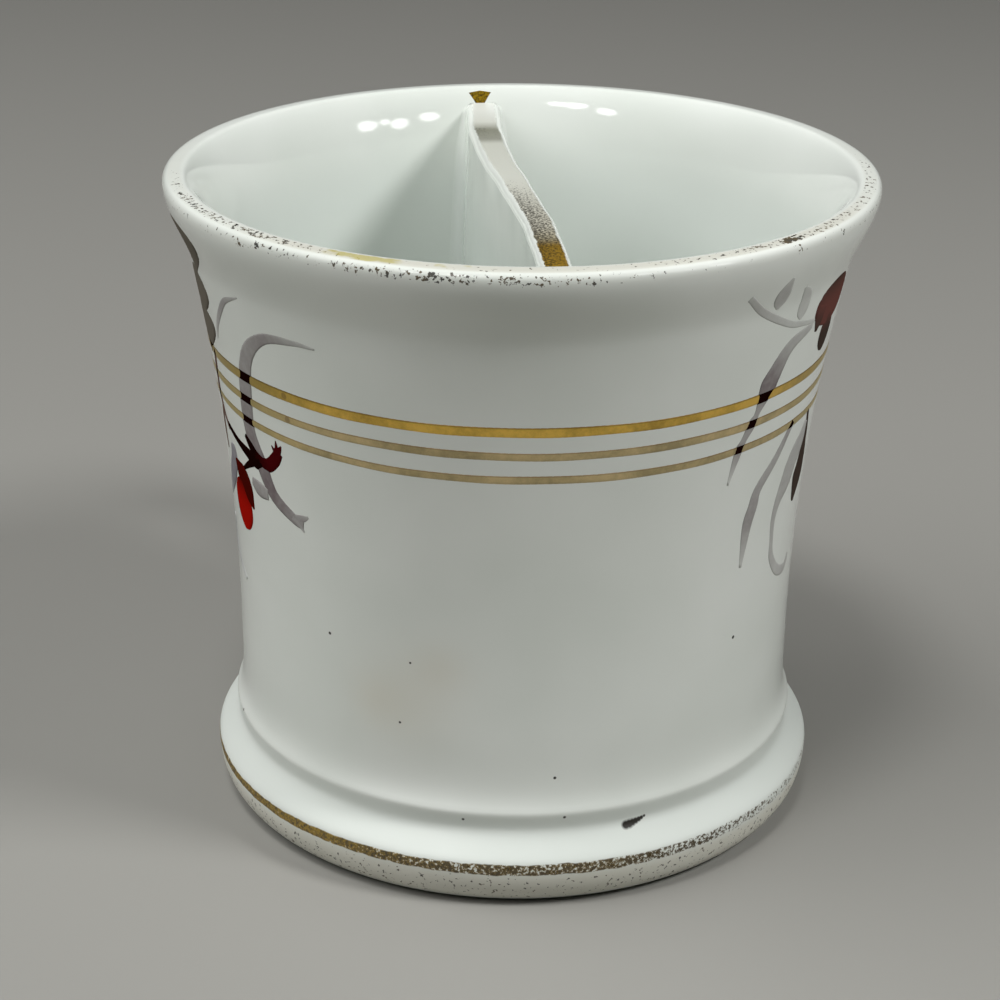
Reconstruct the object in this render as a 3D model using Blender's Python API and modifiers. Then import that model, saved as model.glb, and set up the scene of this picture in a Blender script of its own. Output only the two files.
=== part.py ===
# Divided porcelain shaving mug: a turned cup, an upright partition, an ear handle, and the slip
# that luted them together before firing. Metres, +Z up, standing on Z = 0.
# The partition lies along Y and the handle is on the +Y side.

import math

import bmesh
import bpy
from mathutils import Vector
from mathutils.geometry import interpolate_bezier

# Cup, from the mouth down
HEIGHT = 0.0900
RIM_RADIUS = 0.0480
LIP_THICKNESS = 0.0051
LIP_FLARE = 0.0034  # how far the lip stands out from the neck
LIP_FLARE_HEIGHT = 0.0105  # how far the neck lies below the top
WALL = 0.0040
WAIST_RADIUS = 0.0392
WAIST_Z = 0.0245
BEAD_STEP = 0.0011  # the bead's crest, out from the waist
BEAD_Z = 0.0138
GROOVE_DEPTH = 0.0003  # in from the bead's crest
GROOVE_Z = 0.0120
FOOT_RADIUS = 0.0430
FOOT_CREST_Z = 0.0064
FOOT_EDGE = 0.0022  # rounding above the crest
FOOT_SLOPE = 45.0  # degrees below level, where the hollow flare from the groove meets that rounding
FOOT_TUCK = 0.0031  # how far the standing ring's edge lies inside the foot's crest
FOOT_RING_WIDTH = 0.0059
RECESS_DEPTH = 0.0032
RECESS_SLOPE = 0.0015  # how far the recess narrows from its mouth to its ceiling
FLOOR_THICKNESS = 0.0053
FLOOR_FILLET = 0.0090

# Partition
PARTITION_DROP = 0.0022  # its top edge, below the lip
PARTITION_TOP = 0.0042
PARTITION_FOOT = 0.0064
PARTITION_EDGE = 0.0012  # rounding of the top edge
PARTITION_WARP = 0.0011  # sideways swing of its S

# Slip coves between the partition and the cup
COVE_FOOT_LEG = 0.0042
COVE_TOP_LEG = 0.0022
COVE_DROP = 0.0050  # the cove's end, below the partition's top
COVE_HOLLOW = 0.1  # 0 is a round hollow, 0.5 a flat slope

# Handle
HANDLE_REACH = 0.0735  # from the cup's axis to the outside of the loop
HANDLE_WIDTH = 0.0115
HANDLE_THICKNESS = 0.0080
HANDLE_TOP_DROP = 0.0210  # the upper root, below the lip
HANDLE_BEND_Z = 0.0570
HANDLE_FOOT_Z = 0.0285
HANDLE_LIFT = 14.0  # degrees above level, where the upper arm leaves the cup
HANDLE_DROOP = 20.0  # degrees above level, from the lower root outwards
HANDLE_ROOT_WIDTH = 0.0140  # the section grows to this at both roots
SLIP_COLLAR_LENGTH = 0.0030  # how far a collar reaches out from the wall
SLIP_COLLAR_TIP = 0.0006  # its thickness there
SLIP_COLLAR_FOOT = 0.0019  # its thickness at the wall

LUTING_GAP = 0.0003  # between each piece and what it was stuck to

# Fineness
TURN_STEPS = 72
PARTITION_STEPS = 28
HANDLE_STEPS = 16  # along each half of the loop
SECTION_STEPS = 16  # round the handle
COLLAR_STEPS = 4  # a collar is this many times finer along the loop
COVE_FLOOR_STATIONS = (0.5, 0.7)  # shares of the flat floor's radius
SMOOTH_ANGLE = 40.0
WELD = 0.000001

# How far each curve holds its first or last direction, as a share of its run
FLARE_PULL = 0.3
BEAD_PULL = 0.2
FOOT_FLARE_PULL = 0.5
FOOT_SLOPE_PULL = 0.3
FOOT_CREST_PULL = 0.4
FOOT_TUCK_PULL = 0.7
FOOT_UNDERCUT_PULL = 0.23
HANDLE_TOP_PULL = 0.7
HANDLE_SHOULDER_PULL = 0.9
HANDLE_BELLY_PULL = 0.6
HANDLE_FOOT_PULL = 0.5

FLOOR_Z = RECESS_DEPTH + FLOOR_THICKNESS
NECK_Z = HEIGHT - LIP_FLARE_HEIGHT
NECK_RADIUS = RIM_RADIUS - LIP_FLARE
LIP_ROLL = LIP_THICKNESS / 2
LIP_RADIUS = RIM_RADIUS - LIP_ROLL
LIP_Z = HEIGHT - LIP_ROLL
PARTITION_Z = HEIGHT - PARTITION_DROP
HANDLE_TOP_Z = HEIGHT - HANDLE_TOP_DROP
HANDLE_BURY = WALL / 2  # how deep the loop's line starts inside the wall
AXIS_Y = (RIM_RADIUS - HANDLE_REACH) / 2  # centres the whole mug, handle included, on the origin


def arc(centre, radius, start, end, count):
    """Points (radius, height) round a circle, at angles in degrees from straight out."""
    angles = [math.radians(start + (end - start) * i / count) for i in range(count + 1)]
    return [(centre[0] + radius * math.cos(a), centre[1] + radius * math.sin(a)) for a in angles]


def cubic(start, leave, arrive, end, count):
    """Points (radius, height) of the cubic that leaves start towards leave and reaches end from arrive."""
    corners = [Vector((r, 0, z)) for r, z in (start, leave, arrive, end)]
    return [(p.x, p.z) for p in interpolate_bezier(*corners, count + 1)]


def wall_radius(z):
    """The outer wall: upright at the waist, and flaring as the square of the height above it."""
    rise = max(0.0, (z - WAIST_Z) / (NECK_Z - WAIST_Z))
    return WAIST_RADIUS + (NECK_RADIUS - WAIST_RADIUS) * rise**2


def flare_pull(lip_radius, neck_radius):
    """The two middle points of the cubic from the neck to the lip, on the outer or the inner side."""
    slope = 2 * (NECK_RADIUS - WAIST_RADIUS) / (NECK_Z - WAIST_Z)
    run = (LIP_Z - NECK_Z) * FLARE_PULL
    return (neck_radius + slope * run, NECK_Z + run), (lip_radius, LIP_Z - run)


def inner_profile(gap):
    """The inside from the floor's edge up to the lip, moved into the hollow by gap."""
    waist = WAIST_RADIUS - WALL
    corner = (waist - FLOOR_FILLET, FLOOR_Z + FLOOR_FILLET)
    points = arc(corner, FLOOR_FILLET - gap, -90, 0, 5)
    heights = [WAIST_Z + (NECK_Z - WAIST_Z) * i / 6 for i in range(7)]
    points += [(wall_radius(z) - WALL - gap, z) for z in heights]
    lip, neck = LIP_RADIUS - LIP_ROLL - gap, NECK_RADIUS - WALL - gap
    leave, arrive = flare_pull(lip, neck)
    return points + cubic((neck, NECK_Z), leave, arrive, (lip, LIP_Z), 4)[1:]


def outer_profile(gap):
    """The outside from the lip's widest point down to the standing ring's edge, moved out by gap."""
    lip, neck, waist = RIM_RADIUS + gap, NECK_RADIUS + gap, WAIST_RADIUS + gap
    bead, foot = waist + BEAD_STEP, FOOT_RADIUS + gap
    groove = bead - GROOVE_DEPTH
    leave, arrive = flare_pull(lip, neck)
    points = cubic((neck, NECK_Z), leave, arrive, (lip, LIP_Z), 5)[::-1]
    heights = [NECK_Z + (WAIST_Z - NECK_Z) * i / 7 for i in range(1, 8)]
    points += [(wall_radius(z) + gap, z) for z in heights]
    turn_z = BEAD_Z + (WAIST_Z - BEAD_Z) * BEAD_PULL
    points += cubic((waist, WAIST_Z), (waist, turn_z), (bead, turn_z), (bead, BEAD_Z), 5)[1:]
    slope = math.radians(FOOT_SLOPE)
    crest = arc((foot - FOOT_EDGE, FOOT_CREST_Z), FOOT_EDGE, 90 - FOOT_SLOPE, 0, 3)
    shoulder = crest[0]
    fall = GROOVE_Z - shoulder[1]
    leave = (groove, GROOVE_Z - fall * FOOT_FLARE_PULL)
    arrive = (shoulder[0] - fall * FOOT_SLOPE_PULL / math.tan(slope), shoulder[1] + fall * FOOT_SLOPE_PULL)
    points += cubic((groove, GROOVE_Z), leave, arrive, shoulder, 5) + crest[1:]
    edge = foot - FOOT_TUCK
    down = (foot, FOOT_CREST_Z * (1 - FOOT_CREST_PULL))
    low = (edge + FOOT_TUCK * FOOT_TUCK_PULL, FOOT_CREST_Z * FOOT_UNDERCUT_PULL)
    return points + cubic((foot, FOOT_CREST_Z), down, low, (edge, 0), 5)[1:]


def body_profile():
    """The whole section of the cup, from the floor's centre over the lip to the underside's centre."""
    lip = arc((LIP_RADIUS, LIP_Z), LIP_ROLL, 180, 0, 8)[1:-1]
    ring = FOOT_RADIUS - FOOT_TUCK - FOOT_RING_WIDTH
    underside = [(ring, 0), (ring - RECESS_SLOPE, RECESS_DEPTH), (0, RECESS_DEPTH)]
    return [(0, FLOOR_Z)] + inner_profile(0) + lip + outer_profile(0) + underside


def material(name, colour, roughness):
    made = bpy.data.materials.new(name)
    made.use_nodes = True
    shader = made.node_tree.nodes["Principled BSDF"]
    shader.inputs["Base Color"].default_value = (*colour, 1)
    shader.inputs["Roughness"].default_value = roughness
    shader.inputs["Metallic"].default_value = 0
    return made


def placed(name, mesh, collection, finish=None):
    """Links a mesh as an object on the cup's axis. Without a finish it is a cutter."""
    obj = bpy.data.objects.new(name, mesh)
    collection.objects.link(obj)
    obj.parent = axis
    if finish:
        mesh.materials.append(finish)
    else:
        obj.hide_render = True
        obj.display_type = "WIRE"
    return obj


def turned(name, profile, collection, finish=None):
    """A profile turned about the cup's axis."""
    mesh = bpy.data.meshes.new(name)
    mesh.from_pydata([(r, 0, z) for r, z in profile], [(i, i + 1) for i in range(len(profile) - 1)], [])
    obj = placed(name, mesh, collection, finish)
    screw = obj.modifiers.new("Turn", "SCREW")
    screw.steps = TURN_STEPS
    screw.render_steps = TURN_STEPS
    screw.use_merge_vertices = True
    screw.merge_threshold = WELD
    screw.use_smooth_shade = True
    return obj


def lofted(name, rings, collection, finish=None):
    """Skin over closed rings of equally many points, with flat ends."""
    bm = bmesh.new()
    rows = [[bm.verts.new(point) for point in ring] for ring in rings]
    for row, following in zip(rows, rows[1:]):
        for i in range(len(row)):
            bm.faces.new((row[i - 1], row[i], following[i], following[i - 1]))
    bm.faces.new(rows[0])
    bm.faces.new(rows[-1])
    bmesh.ops.recalc_face_normals(bm, faces=bm.faces[:])
    mesh = bpy.data.meshes.new(name)
    bm.to_mesh(mesh)
    bm.free()
    mesh.shade_smooth()
    mesh.set_sharp_from_angle(angle=math.radians(SMOOTH_ANGLE))
    return placed(name, mesh, collection, finish)


def swept(name, path, sizes, section, collection, finish=None):
    """A closed section carried along a path, with its size at each point, as one mesh."""
    curve = bpy.data.curves.new(name, "CURVE")
    curve.dimensions = "3D"
    curve.bevel_mode = "OBJECT"
    curve.bevel_object = section
    curve.use_fill_caps = True
    spline = curve.splines.new("POLY")
    spline.points.add(len(path) - 1)
    for point, place, size in zip(spline.points, path, sizes):
        point.co = (*place, 1)
        point.radius = size
    guide = bpy.data.objects.new(name + "_guide", curve)
    collection.objects.link(guide)
    evaluated = guide.evaluated_get(bpy.context.evaluated_depsgraph_get())
    mesh = bpy.data.meshes.new_from_object(evaluated)
    bpy.data.objects.remove(guide)
    bm = bmesh.new()
    bm.from_mesh(mesh)
    bmesh.ops.remove_doubles(bm, verts=bm.verts[:], dist=WELD)
    bmesh.ops.recalc_face_normals(bm, faces=bm.faces[:])
    bm.to_mesh(mesh)
    bm.free()
    mesh.name = name
    mesh.materials.clear()
    mesh.shade_smooth()
    mesh.set_sharp_from_angle(angle=math.radians(SMOOTH_ANGLE))
    return placed(name, mesh, collection, finish)


def cut(obj, operation, tool):
    boolean = obj.modifiers.new(tool.name, "BOOLEAN")
    boolean.operation = operation
    boolean.object = tool


def partition_middle(y):
    """Sideways place of the partition's middle: one S from wall to wall."""
    return -PARTITION_WARP * math.sin(math.pi * y / (LIP_RADIUS - LIP_ROLL))


def partition_half(z):
    """Half the partition's thickness: thicker towards its foot."""
    rise = (z - FLOOR_Z) / (PARTITION_Z - FLOOR_Z)
    return (PARTITION_FOOT + (PARTITION_TOP - PARTITION_FOOT) * rise) / 2


def make_partition():
    """A slab with a rounded top, carried along its S and trimmed to the inside of the cup."""
    half = partition_half(PARTITION_Z)
    round_top = arc((half - PARTITION_EDGE, PARTITION_Z - PARTITION_EDGE), PARTITION_EDGE, 0, 90, 4)
    right = [(partition_half(RECESS_DEPTH), RECESS_DEPTH)] + round_top
    section = right + [(-x, z) for x, z in reversed(right)]
    stations = [RIM_RADIUS * (2 * i / PARTITION_STEPS - 1) for i in range(PARTITION_STEPS + 1)]
    rings = [[(partition_middle(y) + x, y, z) for x, z in section] for y in stations]
    slab = lofted("partition", rings, parts, material("glazed_porcelain_partition", (0.76, 0.80, 0.75), 0.12))
    cut(slab, "INTERSECT", hollow)


def cove_ring(side, end, radius, z, lean):
    """One section of a cove where the partition meets the cup at this radius and height.

    side is the partition's face and end the half of the cup, each -1 or 1. lean is the cup's
    inward normal there, as (radius, height).
    """
    def face(y, height):
        return partition_middle(y) + side * (partition_half(height) + LUTING_GAP)

    leg = COVE_FOOT_LEG + (COVE_TOP_LEG - COVE_FOOT_LEG) * (z - FLOOR_Z) / (PARTITION_Z - FLOOR_Z)
    corner_x = face(end * radius, z)
    corner_y = math.sqrt(max(0.0, radius**2 - corner_x**2))
    corner = Vector((face(end * corner_y, z), end * corner_y, z))
    wall_x = corner.x + side * leg
    on_cup = Vector((wall_x, end * math.sqrt(max(0.0, radius**2 - wall_x**2)), z))
    face_y, face_z = end * (corner_y + lean[0] * leg), z + lean[1] * leg
    on_face = Vector((face(face_y, face_z), face_y, face_z))
    pull = corner + COVE_HOLLOW * ((on_cup - corner) + (on_face - corner))
    hollowed = [
        on_cup * (1 - t) ** 2 + pull * 2 * t * (1 - t) + on_face * t**2 for t in (0, 0.25, 0.5, 0.75, 1)
    ]
    return [corner] + hollowed


def make_cove(name, side):
    """A hollow fillet down the front of the cup, across its floor and up the back."""
    profile = inner_profile(LUTING_GAP)
    top = PARTITION_Z - COVE_DROP
    climb = [point for point in profile if point[1] < top]
    floor_z = climb[0][1]
    across = climb[0][0]
    front = []
    for i, (radius, z) in enumerate(climb):
        before, after = climb[max(i - 1, 0)], climb[min(i + 1, len(climb) - 1)]
        along = Vector((after[0] - before[0], after[1] - before[1])).normalized()
        lean = (-along.y, along.x) if i else (0, 1)
        front.append((radius, z, lean))
    rings = [cove_ring(side, -1, *station) for station in reversed(front)]
    for share in reversed(COVE_FLOOR_STATIONS):
        rings.append(cove_ring(side, -1, across * share, floor_z, (0, 1)))
    for share in COVE_FLOOR_STATIONS:
        rings.append(cove_ring(side, 1, across * share, floor_z, (0, 1)))
    rings += [cove_ring(side, 1, *station) for station in front]
    lofted(name, rings, parts, material("glazed_slip_" + name, (0.84, 0.86, 0.81), 0.12))


def handle_path(steps):
    """The loop's middle line, from inside the wall at its upper root to inside it at its lower one."""
    out_y = HANDLE_REACH - HANDLE_THICKNESS / 2
    top = Vector((0, wall_radius(HANDLE_TOP_Z) - HANDLE_BURY, HANDLE_TOP_Z))
    bend = Vector((0, out_y, HANDLE_BEND_Z))
    foot = Vector((0, wall_radius(HANDLE_FOOT_Z) - HANDLE_BURY, HANDLE_FOOT_Z))
    lift, droop = math.radians(HANDLE_LIFT), math.radians(HANDLE_DROOP)
    leave = top + Vector((0, math.cos(lift), math.sin(lift))) * (out_y - top.y) * HANDLE_TOP_PULL
    over = bend + Vector((0, 0, HANDLE_TOP_Z - HANDLE_BEND_Z)) * HANDLE_SHOULDER_PULL
    under = bend + Vector((0, 0, HANDLE_FOOT_Z - HANDLE_BEND_Z)) * HANDLE_BELLY_PULL
    arrive = foot + Vector((0, math.cos(droop), math.sin(droop))) * (out_y - foot.y) * HANDLE_FOOT_PULL
    upper = interpolate_bezier(top, leave, over, bend, steps + 1)
    lower = interpolate_bezier(bend, under, arrive, foot, steps + 1)
    return upper + lower[1:]


def handle_section():
    """The oval that is carried along the handle, as a hidden curve."""
    curve = bpy.data.curves.new("handle_section", "CURVE")
    spline = curve.splines.new("POLY")
    spline.use_cyclic_u = True
    spline.points.add(SECTION_STEPS - 1)
    for i, point in enumerate(spline.points):
        angle = 2 * math.pi * i / SECTION_STEPS
        point.co = (HANDLE_WIDTH / 2 * math.cos(angle), HANDLE_THICKNESS / 2 * math.sin(angle), 0, 1)
    obj = bpy.data.objects.new("handle_section", curve)
    cutters.objects.link(obj)
    obj.hide_render = True
    return obj


def handle_sizes(count):
    """The section's size at each point of the loop's line: 1 in the middle, and growing to the roots."""
    swell = HANDLE_ROOT_WIDTH / HANDLE_WIDTH - 1
    return [1 + swell * (2 * i / (count - 1) - 1) ** 4 for i in range(count)]


def grown(by):
    """The part of the section's size that makes it thicker by this length on each side."""
    return by / (HANDLE_THICKNESS / 2)


def make_collar(name, line, sizes, section, room):
    """Slip round a root of the handle: thick at the wall, and hollowed out to its thin edge."""
    tip = grown(LUTING_GAP + SLIP_COLLAR_TIP)
    flare = grown(SLIP_COLLAR_FOOT - SLIP_COLLAR_TIP)
    widths = []
    along = -HANDLE_BURY
    for point, before, size in zip(line, line[:1] + line, sizes):
        along += (point - before).length
        left = 1 - min(max(along / SLIP_COLLAR_LENGTH, 0), 1)
        widths.append(size + tip + flare * left**2)
    finish = material("glazed_slip_" + name, (0.84, 0.86, 0.81), 0.12)
    collar = swept(name, line, widths, section, parts, finish)
    cut(collar, "INTERSECT", collar_gauge)
    cut(collar, "DIFFERENCE", room)
    cut(collar, "DIFFERENCE", wall_gauge)


def make_handle():
    """The ear handle, trimmed to the wall, with a collar of slip at each root."""
    section = handle_section()
    path = handle_path(HANDLE_STEPS)
    sizes = handle_sizes(len(path))
    finish = material("glazed_porcelain_handle", (0.80, 0.83, 0.78), 0.12)
    handle = swept("handle", path, sizes, section, parts, finish)
    cut(handle, "DIFFERENCE", wall_gauge)
    room = swept("handle_room", path, [size + grown(LUTING_GAP) for size in sizes], section, cutters)
    fine = handle_path(HANDLE_STEPS * COLLAR_STEPS)
    fine_sizes = handle_sizes(len(fine))
    make_collar("upper_handle_slip", fine[:HANDLE_STEPS], fine_sizes[:HANDLE_STEPS], section, room)
    make_collar("lower_handle_slip", fine[:-HANDLE_STEPS:-1], fine_sizes[:-HANDLE_STEPS:-1], section, room)


for old in list(bpy.data.objects):
    bpy.data.objects.remove(old)

parts = bpy.data.collections.new("shaving_mug")
cutters = bpy.data.collections.new("cutters")
bpy.context.scene.collection.children.link(parts)
bpy.context.scene.collection.children.link(cutters)
axis = bpy.data.objects.new("cup_axis", None)
axis.location = (0, AXIS_Y, 0)
parts.objects.link(axis)

turned("cup_body", body_profile(), parts, material("glazed_porcelain_cup", (0.80, 0.83, 0.78), 0.12))

above = HEIGHT + WALL
lip_side = arc((LIP_RADIUS, LIP_Z), LIP_ROLL + LUTING_GAP, 180, 90, 5)[1:]
inside = inner_profile(LUTING_GAP) + lip_side + [(LIP_RADIUS, above), (0, above)]
hollow = turned("hollow_gauge", [*reversed(inside), (0, FLOOR_Z + LUTING_GAP)], cutters)
outside = [(0, HEIGHT)] + outer_profile(LUTING_GAP) + [(0, 0)]
wall_gauge = turned("wall_gauge", outside, cutters)
around = [(0, HEIGHT)] + outer_profile(LUTING_GAP + SLIP_COLLAR_LENGTH) + [(0, 0)]
collar_gauge = turned("collar_gauge", around, cutters)

make_partition()
make_cove("left_slip_cove", -1)
make_cove("right_slip_cove", 1)
make_handle()
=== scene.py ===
from functools import partial

import bpy
import numpy as np
from mathutils import Matrix, Vector


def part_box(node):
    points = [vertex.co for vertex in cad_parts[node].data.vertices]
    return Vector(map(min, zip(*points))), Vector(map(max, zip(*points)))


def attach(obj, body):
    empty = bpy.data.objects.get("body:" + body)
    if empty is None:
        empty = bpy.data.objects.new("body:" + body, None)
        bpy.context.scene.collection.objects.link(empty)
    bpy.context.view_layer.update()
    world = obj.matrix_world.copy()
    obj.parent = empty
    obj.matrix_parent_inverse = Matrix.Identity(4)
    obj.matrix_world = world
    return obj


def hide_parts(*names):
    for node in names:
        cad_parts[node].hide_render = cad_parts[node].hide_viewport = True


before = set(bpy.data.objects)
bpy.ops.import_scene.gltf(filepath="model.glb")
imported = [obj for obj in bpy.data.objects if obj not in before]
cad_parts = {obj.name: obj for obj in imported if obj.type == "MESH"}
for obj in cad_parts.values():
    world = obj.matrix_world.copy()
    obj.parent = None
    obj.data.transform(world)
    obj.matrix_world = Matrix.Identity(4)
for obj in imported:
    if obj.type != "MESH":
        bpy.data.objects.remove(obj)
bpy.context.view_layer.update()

# Lengths below are millimetres, from the cup's axis and up from the level it stands on.
# toWorld turns them to metres.
# A turn is an angle round the axis in degrees: 0 faces the front (-Y), 90 the right (+X), 180 the handle.
cupLow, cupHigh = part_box("cup_body")
axisY = (cupLow[1] + cupHigh[1]) / 2 * 1000
perMm = 1000.0  # cells in a metre, for a pattern of one millimetre


def linear(hexColour):
    # sRGB to linear light: c / 12.92 for the darkest values, else ((c + 0.055) / 1.055) to the power 2.4
    srgb = np.array([int(hexColour[k:k + 2], 16) for k in (1, 3, 5)]) / 255
    light = np.where(srgb <= 0.04045, srgb / 12.92, ((srgb + 0.055) / 1.055) ** 2.4)
    return (*light.tolist(), 1.0)


def addNode(tree, kind, inputs=(), out=0, **settings):
    # one node: settings are its properties, inputs its sockets' values or feeds, in order or by name
    made = tree.nodes.new("ShaderNode" + kind)
    for key, value in settings.items():
        setattr(made, key, value)
    for key, value in inputs.items() if isinstance(inputs, dict) else enumerate(inputs):
        if isinstance(value, bpy.types.NodeSocket):
            tree.links.new(value, made.inputs[key])
        else:
            made.inputs[key].default_value = value
    return made.outputs[out] if made.outputs else made


def newMaterial(name):
    made = bpy.data.materials.new(name)
    made.use_nodes = True
    made.node_tree.nodes.clear()
    return made, partial(addNode, made.node_tree)


# settings that many nodes share: a Mix of two colours (socket 0 is the share, 6 and 7 the colours), a * b,
# and a * b + c
tinted = {"out": 2, "data_type": "RGBA"}
times = {"operation": "MULTIPLY"}
timesPlus = {"operation": "MULTIPLY_ADD"}


# throwing and firing left the mug a little out of true
handMade = {"bow": 0.27, "bowPower": 5, "drop": 0.05, "dropPower": 6}


def toWorld(points):
    # bow: x moves by -bow * (1 - share^bowPower) at the share z / height of the height.
    # lean: the mouth sinks by drop * (1 - x / rim) * share^dropPower
    x, y, z = np.moveaxis(np.asarray(points, float), -1, 0)
    share = np.clip(z / cup["height"], 0, 1)
    sink = handMade["drop"] * (1 - x / cup["rim"]) * share ** handMade["dropPower"]
    aside = handMade["bow"] * (1 - share ** handMade["bowPower"])
    return np.stack([x - aside, y + axisY, z - sink], -1) / 1000


def cubic(a, b, c, d, count=80):
    # Bezier: a (1-t)^3 + 3 b t (1-t)^2 + 3 c t^2 (1-t) + d t^3
    t = np.linspace(0, 1, count)[:, None]
    a, b, c, d = (np.array(p, float) for p in (a, b, c, d))
    return a * (1 - t) ** 3 + 3 * b * t * (1 - t) ** 2 + 3 * c * t ** 2 * (1 - t) + d * t ** 3


def arc(centre, radius, start, end, count=60):
    # centre + radius * (cos, sin) from start to end, in degrees
    angle = np.radians(np.linspace(start, end, count))
    return np.array(centre) + radius * np.stack([np.cos(angle), np.sin(angle)], -1)


def spline(controls, count):
    # Catmull-Rom: each span is the cubic through its two ends whose slopes are half the neighbours' chord
    p = np.array(controls, float)
    p = np.vstack([2 * p[0] - p[1], p, 2 * p[-1] - p[-2]])
    t = np.linspace(0, len(p) - 3 - 1e-9, count)
    k = t.astype(int)
    t = (t - k)[:, None]
    a, b, c, d = p[k], p[k + 1], p[k + 2], p[k + 3]
    return b + 0.5 * t * (c - a + t * (2 * a - 5 * b + 4 * c - d + t * (3 * (b - c) + d - a)))


def lengthAlong(points):
    # running length of a line of points
    return np.concatenate([[0], np.cumsum(np.linalg.norm(np.diff(points, axis=0), axis=1))])


def between(at, places, rows):
    # rows given at rising places, read at others by straight lines from each to the next
    return np.stack([np.interp(at, places, column) for column in np.asarray(rows).T], -1)


def ease(value, low, high):
    # 0 at low, 1 at high, and t^2 (3 - 2t) between
    t = np.clip((value - low) / (high - low), 0, 1)
    return t * t * (3 - 2 * t)


def window(value, start, end, soft):
    # 1 from start to end, easing to 0 over soft on either side
    return ease(value, start - soft, start + soft) * ease(value, end + soft, end - soft)


def bell(value, middle, width):
    # 1 at the middle, falling as exp(-x^2 / 2) with x counted in widths
    return np.exp(-0.5 * ((value - middle) / width) ** 2)


def skin(points, wrapPath=False, **attributes):
    # points[i, j]: point j of the closed section at station i of the path. Quads join neighbours, and a
    # fan closes each open end. The faces are turned by the sign of the volume, the sum of
    # a . (b x c) / 6 over the triangles
    n, m = points.shape[:2]
    i, j = np.meshgrid(np.arange(n if wrapPath else n - 1), np.arange(m), indexing="ij")
    steps = [(0, 0), (0, 1), (1, 1), (1, 0)]
    quads = np.stack([((i + di) % n) * m + (j + dj) % m for di, dj in steps], -1).reshape(-1, 4)
    uvs = np.stack([np.stack([(i + di) / (n - 1 + wrapPath), (j + dj) / m], -1) for di, dj in steps], -2)
    uvs = uvs.reshape(-1, 4, 2)
    verts = points.reshape(-1, 3)
    values = {key: np.broadcast_to(value, (n, m) + np.shape(value)[2:]) for key, value in attributes.items()}
    values = {key: value.reshape((n * m,) + value.shape[2:]) for key, value in values.items()}
    fans, fanUvs = np.zeros((0, 3), int), np.zeros((0, 3, 2))
    if not wrapPath:
        ends = [np.arange(m), (n - 1) * m + np.arange(m)[::-1]]
        middles = np.stack([verts[end].mean(0) for end in ends])
        values = {key: np.concatenate([value, [value[end].mean(0) for end in ends]])
                  for key, value in values.items()}
        fans = np.concatenate([np.stack([np.roll(e, -1), e, np.full(m, n * m + k)], -1)
                               for k, e in enumerate(ends)])
        share = np.arange(m) / m
        around = np.stack([share + 1 / m, share, share + 0.5 / m], -1)
        fanUvs = np.concatenate([np.stack([np.full((m, 3), k), turned], -1)
                                 for k, turned in enumerate((around, 1 - around))])
        verts = np.vstack([verts, middles])
    corners = np.vstack([quads[:, [0, 1, 2]], quads[:, [0, 2, 3]], fans])
    a, b, c = (verts[corners[:, k]] - verts.mean(0) for k in range(3))
    if np.einsum("ij,ij->", a, np.cross(b, c)) < 0:
        quads, uvs, fans, fanUvs = quads[:, ::-1], uvs[:, ::-1], fans[:, ::-1], fanUvs[:, ::-1]
    return verts, quads, fans, uvs, fanUvs, values


def makePiece(name, skins, material, *nodes, slot="white_porcelain"):
    # one object from one or more skins, in place, riding on the part's only body
    start = np.cumsum([0] + [len(s[0]) for s in skins])
    verts = np.vstack([s[0] for s in skins])
    quads = np.vstack([s[1] + k for s, k in zip(skins, start)])
    fans = np.vstack([s[2] + k for s, k in zip(skins, start)])
    mesh = bpy.data.meshes.new(name)
    mesh.from_pydata(toWorld(verts).tolist(), [], quads.tolist() + fans.tolist())
    uv = np.concatenate([np.vstack([s[3] for s in skins]).ravel(), np.vstack([s[4] for s in skins]).ravel()])
    mesh.uv_layers.new(name="wrap").data.foreach_set("uv", uv)
    for key in skins[0][5]:
        value = np.concatenate([s[5][key] for s in skins])
        colour = value.ndim == 2
        layer = mesh.attributes.new(key, "FLOAT_COLOR" if colour else "FLOAT", "POINT")
        layer.data.foreach_set("color" if colour else "value", value.astype(np.float32).ravel())
    mesh.shade_smooth()
    mesh.materials.append(material)
    piece = bpy.data.objects.new(name, mesh)
    bpy.context.scene.collection.objects.link(piece)
    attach(piece, "root")
    if nodes:
        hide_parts(*nodes)
    print(name, len(mesh.vertices), "points")
    return piece


glaze = {
    "white": "#E4E8E2",  # clear glaze over a cool white body
    "grey": "#DCE1DA",
    "patch": 26.0,  # mm, the slow drift between the two
    "ripple": 5.0,  # mm between the faint swells that soften a reflection
    "swell": 0.0004,  # metres at full strength, far more than the real swells, so that they show
    "swellStrength": 0.06,
    "roughness": 0.07,
    "ior": 1.5,
}


def glazeColour(add):
    # drifts slowly between the two whites
    place = add("TexCoord", out="Object")
    drift = add("TexNoise", {"Vector": place, "Scale": perMm / glaze["patch"], "Detail": 2.0})
    share = add("MapRange", [drift, 0.35, 0.65])
    colours = {0: share, 6: linear(glaze["white"]), 7: linear(glaze["grey"])}
    return place, add("Mix", colours, **tinted)


def glazeNormal(add, place):
    # the faint swells that a poured glaze keeps
    swell = add("TexNoise", {"Vector": place, "Scale": perMm / glaze["ripple"], "Detail": 1.0})
    return add("Bump", {"Height": swell, "Strength": glaze["swellStrength"], "Distance": glaze["swell"]})


def plainGlaze():
    # glazed porcelain, poured and fired glossy: cool white with clear, slightly wavy reflections
    made, add = newMaterial("glazed_porcelain")
    place, colour = glazeColour(add)
    shader = add("BsdfPrincipled", {
        "Base Color": colour, "Roughness": glaze["roughness"], "IOR": glaze["ior"],
        "Normal": glazeNormal(add, place)})
    add("OutputMaterial", [shader])
    return made


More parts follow.
